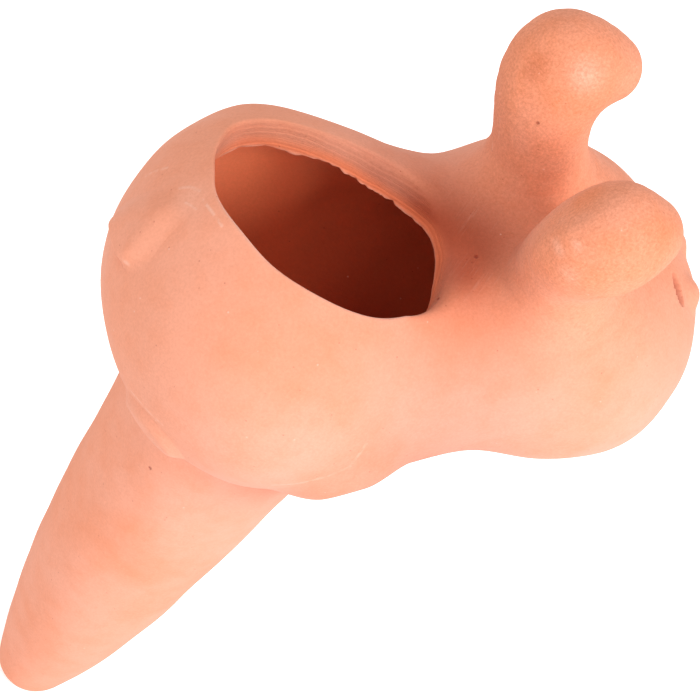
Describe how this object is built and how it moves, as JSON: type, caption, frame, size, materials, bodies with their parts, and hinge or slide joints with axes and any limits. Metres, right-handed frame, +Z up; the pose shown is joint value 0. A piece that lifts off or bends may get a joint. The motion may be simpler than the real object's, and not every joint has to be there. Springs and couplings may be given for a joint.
{
  "type": "self watering plant spike",
  "caption": "Unglazed clay animal with an open filling mouth in its back, two stalked ears and a hollow porous spike that is pushed into potting soil.",
  "frame": {"origin": "on the spike's axis at the soil line, under the animal's belly", "axes": "+Z up along the spike, +X towards the head, +Y to the animal's left"},
  "size_m": [0.0923, 0.0598, 0.1693],
  "materials": {
    "body_clay": "matt unglazed terracotta",
    "head_clay": "matt unglazed terracotta",
    "spike_clay": "matt unglazed porous terracotta",
    "ear_clay": "matt sandy unglazed terracotta",
    "pressed_clay": "matt unglazed terracotta"
  },
  "bodies": {
    "root": {"body_shell": "body_clay", "head_shell": "head_clay", "spike_shell": "spike_clay", "ear_left": "ear_clay", "ear_right": "ear_clay", "tail": "pressed_clay", "front_foot_left": "pressed_clay", "front_foot_right": "pressed_clay", "hind_foot_left": "pressed_clay", "hind_foot_right": "pressed_clay", "eye_left": "pressed_clay", "eye_right": "pressed_clay"}
  },
  "joints": []
}
